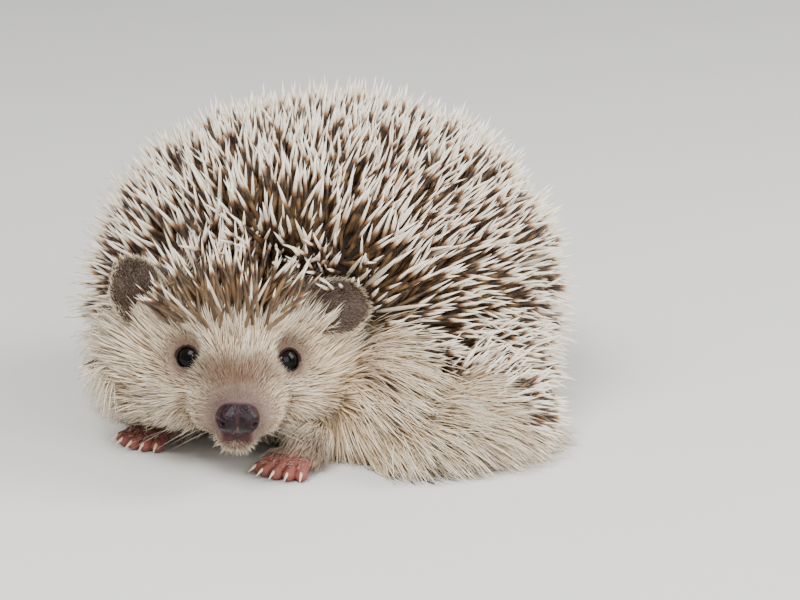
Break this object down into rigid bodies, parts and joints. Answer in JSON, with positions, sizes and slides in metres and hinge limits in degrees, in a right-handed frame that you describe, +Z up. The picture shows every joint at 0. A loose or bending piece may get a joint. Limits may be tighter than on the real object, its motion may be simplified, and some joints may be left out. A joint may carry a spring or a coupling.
{
  "type": "hedgehog",
  "caption": "African pygmy hedgehog, adult, crouched on all fours with its face turned to its left: domed quilled back, pale furred face, pointed snout, round ears.",
  "frame": {"origin": "on the floor, under the middle of the animal's bounding box", "axes": "+Z up from the floor, -Y towards the front of the body, +X towards the animal's own left"},
  "size_m": [0.1212, 0.1208, 0.0658],
  "materials": {
    "quills": "stiff quills, cream with a dark brown band",
    "fur": "soft long cream fur",
    "face_fur": "short cream fur",
    "nose_leather": "moist bare skin",
    "eye": "wet, glossy",
    "ear_skin": "thin skin with fine down",
    "paw_skin": "bare wrinkled skin",
    "claw": "smooth horn",
    "tail_skin": "bare skin with a few hairs"
  },
  "bodies": {
    "root": {"trunk": "quills", "neck": "fur", "head": "face_fur", "nose": "nose_leather", "eye_left": "eye", "ear_left": "ear_skin", "eye_right": "eye", "ear_right": "ear_skin", "leg_front_left": "fur", "foot_front_left": "paw_skin", "leg_hind_left": "fur", "foot_hind_left": "paw_skin", "claw_front_left_1": "claw", "claw_front_left_2": "claw", "claw_front_left_3": "claw", "claw_front_left_4": "claw", "claw_front_left_5": "claw", "claw_hind_left_1": "claw", "claw_hind_left_2": "claw", "claw_hind_left_3": "claw", "claw_hind_left_4": "claw", "leg_front_right": "fur", "foot_front_right": "paw_skin", "leg_hind_right": "fur", "foot_hind_right": "paw_skin", "claw_front_right_1": "claw", "claw_front_right_2": "claw", "claw_front_right_3": "claw", "claw_front_right_4": "claw", "claw_front_right_5": "claw", "claw_hind_right_1": "claw", "claw_hind_right_2": "claw", "claw_hind_right_3": "claw", "claw_hind_right_4": "claw", "tail": "tail_skin"}
  },
  "joints": []
}
